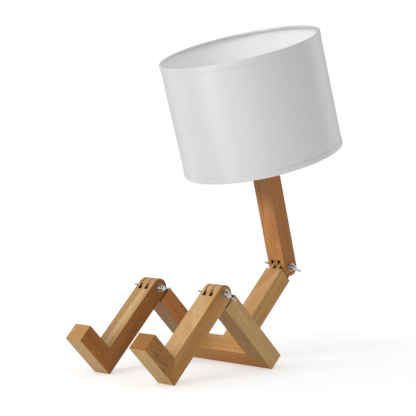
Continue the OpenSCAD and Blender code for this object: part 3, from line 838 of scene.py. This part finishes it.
# Lampholder and bulb
def ribs_tree(finish):
    """Upright rounded ribs at even steps round a circle."""
    t, size = new_tree("grip_ribs", {
        "Count": 36, "Circle": 20 * MM, "Rib": 0.5 * MM, "Height": 6 * MM, "Base": 0.0})
    circle = t.out("GeometryNodeMeshCircle", {
        "Vertices": size["Count"], "Radius": size["Circle"]})
    run = t.out("GeometryNodeCurvePrimitiveLine", {
        "Start": t.out("ShaderNodeCombineXYZ", {2: size["Base"]}), "Direction": (0, 0, 1),
        "Length": size["Height"]}, mode="DIRECTION")
    section = t.out("GeometryNodeCurvePrimitiveCircle", {"Resolution": 8, "Radius": size["Rib"]})
    rib = t.out("GeometryNodeCurveToMesh", {
        "Curve": run, "Profile Curve": section, "Fill Caps": True})
    many = t.out("GeometryNodeInstanceOnPoints", {"Points": circle, "Instance": rib})
    return end_tree(t, many, finish)


def holder_cap(plastic):
    throat = HOLDER_IN_R - 1.5 * MM
    mesh = lathe([
        (CAP_HOLE_R, 0), (CAP_R, 0, 4.5 * MM), (CAP_R, CAP_H, 0.3 * MM), (HOLDER_IN_R, CAP_H),
        (HOLDER_IN_R, 8 * MM), (throat, 8 * MM), (throat, CAP_FLOOR, 1.5 * MM),
        (CAP_HOLE_R, CAP_FLOOR)], HEAD)
    grip = grown(ribs_tree, plastic, HEAD, Count=40, Circle=CAP_R - 0.35 * MM, Rib=0.34 * MM,
                 Height=13 * MM, Base=7 * MM)
    placed("moulded_holder_cap", joined([mesh, grip]), plastic, "head",
           "holder_cap")


def holder_shell(plastic):
    """The shell's skirt is threaded outside for the ring that holds the shade."""
    ledge_r, ledge_h, lip = 14.3 * MM, CAP_H + 2 * MM, SEAT_H - 2.4 * MM
    core = CAP_R - 0.8 * MM
    mesh = lathe([
        (ledge_r, CAP_H), (CAP_R, CAP_H, 0.3 * MM), (CAP_R, lip, 0.5 * MM),
        (SEAT_R, lip, 0.6 * MM), (SEAT_R, SEAT_H, 0.3 * MM), (core, SEAT_H),
        (core, HOLDER_H, 0.5 * MM), (HOLDER_IN_R, HOLDER_H, 0.4 * MM), (HOLDER_IN_R, ledge_h),
        (ledge_r, ledge_h)], HEAD)
    skirt = threaded(SEAT, plastic, CAP_R - 1.2 * MM, Crest=CAP_R, Depth=0.9 * MM, Pitch=3 * MM,
                     Length=HOLDER_H - SEAT_H - 1 * MM, Fade=1.5 * MM)
    placed("moulded_holder_shell", joined([mesh, skirt]), plastic, "head",
           "holder_shell")


def clamp_ring(plastic):
    """The ring screws down on the fitter; its grip stands above a flat flange."""
    place = HEAD @ shifted(0, 0, SEAT_H + FITTER_T)
    bore, flange = CAP_R + 0.1 * MM, 2 * MM
    mesh = lathe([
        (bore, 0, 0.3 * MM), (CLAMP_R, 0, 0.5 * MM), (CLAMP_R, flange, 0.6 * MM),
        (CLAMP_BODY_R, flange, 0.5 * MM), (CLAMP_BODY_R, CLAMP_H, 0.5 * MM),
        (bore, CLAMP_H, 0.4 * MM)], place)
    grip = grown(ribs_tree, plastic, place, Count=48, Circle=CLAMP_BODY_R - 0.1 * MM, Rib=0.55 * MM,
                 Height=4.6 * MM, Base=2.2 * MM)
    placed("moulded_shade_clamp_ring", joined([mesh, grip]), plastic, "head",
           "shade_clamp_ring")


def holder_inside(brass, ceramic):
    nipple = threaded(HEAD @ shifted(0, 0, -NIPPLE_DEPTH), brass, NIPPLE_R - 1.5 * MM,
                      Crest=NIPPLE_R, Depth=0.45 * MM, Pitch=1 * MM,
                      Length=NIPPLE_DEPTH + NIPPLE_TOP, Round=0.0, Fade=0.8 * MM, Steps=48,
                      Rows=330)
    placed("threaded_nipple", nipple, brass, "head", "holder_nipple")
    shape = cad_copy("nipple_nut")
    soften(shape, 0.3 * MM, least=50, every=True)
    placed("hexagon_nipple_nut", as_mesh(shape), brass, "head", "nipple_nut")
    shell = threaded(HEAD @ shifted(0, 0, CAP_H + SOCKET_T), brass, SOCKET_R - 0.25 * MM,
                     Crest=SOCKET_R + 0.55 * MM, Depth=0.75 * MM, Pitch=BULB_PITCH,
                     Length=SOCKET_LEN - SOCKET_T, Fade=2 * MM, Rows=110)
    hole, rim = 6 * MM, SOCKET_R + 0.5 * MM
    floor = lathe([
        (hole, 0), (rim, 0, 0.3 * MM), (rim, SOCKET_T), (hole, SOCKET_T)],
        HEAD @ shifted(0, 0, CAP_H), 0.15 * MM)
    placed("rolled_screw_shell", joined([shell, floor]), brass, "head", "screw_shell")
    dress(NODES["centre_contact"].data, brass)
    dress(NODES["terminal_block"].data, ceramic)


def cord_bush(plastic):
    """Two lips and a tapered mouth round the hole where the cord comes out."""
    stem = BEAM_T / 2 - 3.5 * MM
    mesh = lathe([
        (BUSH_BORE_R, -stem), (BUSH_R, -stem, 0.4 * MM), (BUSH_R, 0), (BUSH_FLANGE_R, 0, 0.2 * MM),
        (BUSH_FLANGE_R, BUSH_FLANGE_T, 1.0 * MM), (BUSH_BORE_R, BUSH_FLANGE_T, 0.9 * MM)],
        BUSH, 0.1 * MM, 72)
    placed("moulded_cord_bush", mesh, plastic, "head", "cord_bush")


def bulb(steel, black, glass):
    foot = HEAD @ shifted(0, 0, BULB_FOOT_H)
    cap = threaded(foot, steel, BULB_CAP_R - 1.6 * MM, Crest=BULB_CAP_R, Depth=0.95 * MM,
                   Pitch=BULB_PITCH, Length=BULB_CAP_LEN, Fade=3 * MM, Rows=130)
    placed("rolled_bulb_cap", cap, steel, "head", "bulb_cap")
    base = -2.6 * MM
    insulator = lathe([
        (0, base), (5 * MM, base, 0.3 * MM), (BULB_CAP_R - 0.9 * MM, 0, 0.4 * MM), (0, 0)], foot)
    placed("glassy_bulb_insulator", insulator, black, "head", "bulb_insulator")
    tip = lathe([
        (0, -3.4 * MM), (4 * MM, -3.3 * MM, 0.6 * MM), (4.4 * MM, base), (0, base)],
        foot, 0.1 * MM, 48)
    placed("soldered_bulb_tip", tip, steel, "head", "bulb_tip")
    mesh = lathe(glass_outline(), HEAD)
    placed("opal_bulb_glass", mesh, glass, "head", "bulb_glass", crease=60)


def glass_outline():
    """A straight foot inside the cap, a straight neck that touches the globe, the globe
    itself, and the same again inside."""
    rim, centre = BULB_FOOT_H + BULB_CAP_LEN, BULB_TOP_H - BULB_R
    foot_r, foot_h = BULB_CAP_R - 1.7 * MM, rim - 5 * MM
    touch = math.atan2(rim - centre, foot_r) + math.acos(BULB_R / math.hypot(foot_r, rim - centre))
    outer = [(foot_r, foot_h, 0), (foot_r, rim, 6 * MM)]
    for k in range(32):
        turn = touch + (math.pi / 2 - touch) * k / 32
        outer.append((BULB_R * math.cos(turn), centre + BULB_R * math.sin(turn), 0))
    outer.append((0, BULB_TOP_H, 0))
    inner = [(max(r - GLASS_T, 0), h - (GLASS_T if r < SAME else 0), 0)
             for r, h, _ in reversed(outer)]
    return outer + inner[:-1] + [(foot_r - GLASS_T, foot_h, 0)]


# Shade
def wires_tree(finish):
    """A wire ring that stands about Z."""
    t, size = new_tree("wire_ring", {
        "Ring": 100 * MM, "Wire": 1.5 * MM, "Base": 0.0, "Steps": 240, "Sides": 16})
    ring, section = (t.out("GeometryNodeCurvePrimitiveCircle", {
        "Resolution": size[steps], "Radius": size[radius]})
        for steps, radius in (("Steps", "Ring"), ("Sides", "Wire")))
    swept = t.out("GeometryNodeCurveToMesh", {"Curve": ring, "Profile Curve": section})
    rise = t.out("ShaderNodeCombineXYZ", {2: size["Base"]})
    lifted = t.out("GeometryNodeTransform", {"Geometry": swept, "Translation": rise})
    return end_tree(t, lifted, finish)


def rim_ring(name, node, height, enamel):
    mesh = grown(wires_tree, enamel, SHADE, Ring=RING_R, Wire=WIRE_R, Base=height)
    placed(name, mesh, enamel, "head", node, crease=0)


def shade_fitter(enamel):
    """A pressed ring with three wire arms out to the rim wire, and a bead of weld at each
    arm's ends."""
    bore = CAP_R + 0.2 * MM
    parts = [lathe([
        (bore, 0), (FITTER_R, 0, 0.3 * MM), (FITTER_R, FITTER_T, 0.3 * MM), (bore, FITTER_T)],
        SEAT)]
    for degrees in ARM_ANGLES:
        away = turned_point(1, math.radians(degrees), 0)
        start = away * (FITTER_R - WIRE_R) + Vector((0, 0, SEAT_H + FITTER_T / 2))
        end = HEAD.inverted() @ SHADE @ (away * RING_R + Vector((0, 0, RING_INSET)))
        run = end - start
        aim = run.to_track_quat("Z", "Y").to_matrix().to_4x4()
        parts.append(lathe([
            (0, 0), (WIRE_R, 0.2 * MM, 0.5 * MM), (WIRE_R, run.length), (0, run.length)],
            HEAD @ shifted(*start) @ aim, 0.1 * MM, 20))
        for middle, radius in ((start + run * 0.012, 2.3 * MM), (end - run * 0.012, 1.9 * MM)):
            parts.append(weld(HEAD @ shifted(*middle) @ aim, radius))
    placed("welded_shade_fitter", joined(parts), enamel, "head", "shade_fitter",
           crease=40)


def weld(place, radius):
    """A small uneven bead."""
    shape = bmesh.new()
    bmesh.ops.create_icosphere(shape, subdivisions=3, radius=radius)
    for vert in shape.verts:
        lump = noise.noise(vert.co * 900 + place.to_translation() * 300)
        vert.co *= 1 + 0.06 * lump
        vert.co.z *= 1.25
    return closed_mesh(shape, place)


SEAM_AT = math.radians(135)
LAP = 10 * MM
GIRTH = 2 * math.pi * SHADE_R


def cloth_strip(outer, inner, along, across, place):
    """A strip of cloth from the points of its two skins, column by column. along and across
    are where the columns and their points lie on the flat strip, in metres; with as many
    columns as there are places along it, the strip is open and its ends get walls."""
    shape = bmesh.new()
    skins = [[[shape.verts.new(spot) for spot in column] for column in skin]
             for skin in (outer, inner)]
    end, last = len(along) - 1, len(across) - 1
    quads = []
    for i in range(end):
        for k in range(last):
            quads += [[(0, i, k), (0, i + 1, k), (0, i + 1, k + 1), (0, i, k + 1)],
                      [(1, i, k + 1), (1, i + 1, k + 1), (1, i + 1, k), (1, i, k)]]
        quads += [[(0, i, 0), (1, i, 0), (1, i + 1, 0), (0, i + 1, 0)],
                  [(0, i, last), (0, i + 1, last), (1, i + 1, last), (1, i, last)]]
    if len(outer) == len(along):
        for k in range(last):
            quads += [[(0, 0, k), (0, 0, k + 1), (1, 0, k + 1), (1, 0, k)],
                      [(1, end, k), (1, end, k + 1), (0, end, k + 1), (0, end, k)]]
    layer = shape.loops.layers.uv.new("cloth")
    for corners in quads:
        face = shape.faces.new([skins[s][i % len(outer)][k] for s, i, k in corners])
        for loop, (_, i, k) in zip(face.loops, corners):
            loop[layer].uv = (along[i], across[k])
    return as_mesh(shape, place)


def shade_fabric(cloth):
    """The cloth goes once round the drum and laps over its own end at the back."""
    around, up, ramp = 360, 48, 3 * MM
    low, high = HEM_T + 0.05 * MM, SHADE_H - HEM_T - 0.05 * MM
    length = GIRTH + LAP
    along = [i / around * length for i in range(around + 1)]
    outer, inner = [], []
    for skin, out in ((outer, FABRIC_T - 0.2 * MM), (inner, 0.0)):
        for run in along:
            lift = min(max(0.0, (run - GIRTH + ramp) / ramp), 1.0) * 0.3 * MM
            tuck = 0.25 * MM * (1 - min(run, ramp) / ramp)
            turn = SEAM_AT + run / SHADE_R
            base = SHADE_R - FABRIC_T + 0.02 * MM - tuck
            column = []
            for j in range(up + 1):
                height = low + (high - low) * j / up
                spot = Vector((math.cos(turn), math.sin(turn), height * 9)) * 2.0
                radius = base + 0.12 * MM * noise.noise(spot) + lift + out
                column.append(turned_point(radius, turn, height))
            skin.append(column)
    across = [j / up * (high - low) for j in range(up + 1)]
    piece = placed("satin_shade_fabric", cloth_strip(outer, inner, along, across, SHADE), cloth,
                   "head", "shade_fabric", crease=40)
    return piece, (length, high - low)


LIP_STEPS = 8
CORNER_STEPS = 6
ROLL_STEPS = 16
GATHER_FROM = LIP_STEPS + CORNER_STEPS + 1


def hem_section(centre):
    """The rolled hem, from its lip on the cloth over the rim and round the wire, in
    [radius, depth below the rim] pairs for its outer and inner skin."""
    outer, inner = [], []
    lip, corner, glue = SHADE_R + HEM_T, 1.4 * MM, 0.02 * MM
    for k in range(LIP_STEPS + 1):
        depth = HEM_W - (HEM_W - 1.6 * MM) * k / LIP_STEPS
        outer.append(Vector((lip if k else SHADE_R + 0.15 * MM, depth)))
        inner.append(Vector((SHADE_R + glue, depth)))
    small = corner - HEM_T
    for k in range(1, CORNER_STEPS + 1):
        turn = math.pi / 2 * k / CORNER_STEPS
        outer.append(Vector((lip - corner + corner * math.cos(turn),
                             corner - corner * math.sin(turn))))
        inner.append(Vector((SHADE_R - small + small * math.cos(turn) + glue,
                             corner - small * math.sin(turn))))
    for k in range(ROLL_STEPS + 1):
        turn = math.radians(90 + 230 * k / ROLL_STEPS)
        way = Vector((math.cos(turn), -math.sin(turn)))
        outer.append(centre + way * (WIRE_R + HEM_T))
        inner.append(centre + way * (WIRE_R + glue))
    return outer, inner


def sunk(turn, k, seed):
    """How far the hem's outer skin sinks: into pleats inside the rim, hardly outside it."""
    if k <= GATHER_FROM:
        return 0.05 * MM * (1 + noise.noise(Vector((turn * 40, k * 0.5, seed))))
    wander = noise.noise(Vector((math.cos(turn) * 7, math.sin(turn) * 7, seed)))
    pleat = math.sin(turn * 92 + k * 0.3 + 2.2 * wander)
    fold = noise.noise(Vector((turn * 30, k * 0.25, seed + 4.0)))
    inside = min(1.0, (k - GATHER_FROM) / 6)
    return 0.3 * MM * inside * max(0.0, 0.55 * pleat + 0.6 * fold)


def rolled_hem(name, node, place, cloth, seed):
    """A strip of the same cloth, glued over the rim and gathered a little inside."""
    around = 560
    centre = Vector((RING_R, RING_INSET))
    section = hem_section(centre)
    skins = ([], [])
    for s in (0, 1):
        for i in range(around):
            turn = 2 * math.pi * i / around
            column = []
            for k, spot in enumerate(section[s]):
                toward = Vector((-1, 0)) if k <= LIP_STEPS else centre - spot
                deep = 0.0 if s else min(sunk(turn, k, seed), HEM_T * 0.8)
                spot = spot + toward.normalized() * deep
                column.append(turned_point(spot.x, turn, -spot.y))
            skins[s].append(column)
    across = [0.0]
    for a, b in zip(section[0], section[0][1:]):
        across.append(across[-1] + (b - a).length)
    along = [GIRTH * i / around for i in range(around + 1)]
    return placed(name, cloth_strip(*skins, along, across, place), cloth, "head", node,
                  crease=50)


def shade_liner(film):
    outer, inner = SHADE_R - FABRIC_T - 0.03 * MM, SHADE_R - FABRIC_T - LINER_T
    mesh = lathe([
        (inner, HEM_T), (outer, HEM_T), (outer, SHADE_H - HEM_T), (inner, SHADE_H - HEM_T)],
        SHADE, 0.1 * MM, 240)
    placed("stiff_shade_liner", mesh, film, "head", "shade_liner")


def shade():
    enamel = enamelled_wire()
    rim_ring("welded_bottom_rim_wire", "shade_bottom_ring", RING_INSET, enamel)
    rim_ring("welded_top_rim_wire", "shade_top_ring", SHADE_H - RING_INSET, enamel)
    shade_fitter(enamel)
    shade_liner(liner_film())
    cloth = satin_cloth()
    fabric, flat = shade_fabric(cloth)
    top = rolled_hem("rolled_top_hem", "shade_top_hem", SHADE @ shifted(0, 0, SHADE_H),
                     cloth, 3.0)
    bottom = rolled_hem("rolled_bottom_hem", "shade_bottom_hem",
                        SHADE @ turned("X", 180), cloth, 11.0)


def lampholder():
    plastic = moulded("holder_white", (0.8, 0.8, 0.78), 0.35)
    brass = bright_metal("holder_brass", (0.78, 0.56, 0.28), (0.62, 0.42, 0.2), 0.26)
    steel = bright_metal("bulb_nickel", (0.7, 0.69, 0.66), (0.56, 0.55, 0.52), 0.25)
    holder_cap(plastic)
    holder_shell(plastic)
    clamp_ring(plastic)
    holder_inside(brass, moulded("porcelain_glaze", (0.84, 0.82, 0.77), 0.2, 0.1))
    cord_bush(moulded("bush_black", (0.035, 0.035, 0.037), 0.4, 0.2))
    bulb(steel, moulded("bulb_black_glass", (0.02, 0.02, 0.022), 0.15, 0.2), opal_glass())


# Camera, floor and light
VIEW_FROM = (1.369306, -1.385378, 0.311763)
VIEW_TURN = 44.995
VIEW_DROP = 2.767
VIEW_LENS = 122.756
LIT_H = 0.22
ROOM_LIGHT = 0.51


def camera():
    lens = bpy.data.cameras.new("camera")
    lens.lens, lens.sensor_width = VIEW_LENS, 36
    lens.clip_end = 30
    eye = in_scene("camera", lens)
    eye.location = VIEW_FROM
    eye.rotation_euler = (math.radians(90 - VIEW_DROP), 0, math.radians(VIEW_TURN))
    bpy.context.scene.camera = eye


def floor():
    shape = bmesh.new()
    bmesh.ops.create_circle(shape, cap_ends=True, segments=128, radius=FLOOR_R)
    ground = in_scene("floor", as_mesh(shape))
    ground.location.z = -0.2 * MM
    dress(ground.data, pale_floor())


def soft_box(name, turn, rise, away, wide, tall, power):
    """An area light that looks at the lamp; turn is counted from the camera's side."""
    a, e = math.radians(VIEW_TURN + turn), math.radians(rise)
    way = Vector((math.sin(a) * math.cos(e), -math.cos(a) * math.cos(e), math.sin(e)))
    glow = bpy.data.lights.new(name, "AREA")
    glow.shape, glow.size, glow.size_y = "RECTANGLE", wide, tall
    glow.energy = power
    box = in_scene(name, glow)
    box.location = Vector((0, 0, LIT_H)) + way * away
    box.rotation_euler = way.to_track_quat("Z", "Y").to_euler()


def lights():
    """Four soft boxes in a room that the camera sees as white."""
    soft_box("key", -57, 28, 2.2, 0.7, 1.8, 14)
    soft_box("front", -30, 42, 2.4, 1.2, 1.6, 12)
    soft_box("left_panel", -120, 30, 2.2, 1.4, 1.6, 6)
    soft_box("right_panel", 124, 25, 2.4, 1.4, 1.6, 4.8)
    world = bpy.data.worlds.new("studio")
    bpy.context.scene.world = world
    world.use_nodes = True
    t = Tree(world.node_tree)
    t.tree.nodes.clear()
    room, seen = (t.out("ShaderNodeBackground", {"Color": (1, 1, 1, 1), "Strength": level})
                  for level in (ROOM_LIGHT, 1.0))
    both = t.out("ShaderNodeMixShader", {
        0: t.out("ShaderNodeLightPath", output="Is Camera Ray"), 1: room, 2: seen})
    t.node("ShaderNodeOutputWorld", {"Surface": both})
    bpy.context.scene.view_settings.view_transform = "Standard"


camera()
floor()
lights()
timbers()
joint_hardware()
lampholder()
shade()
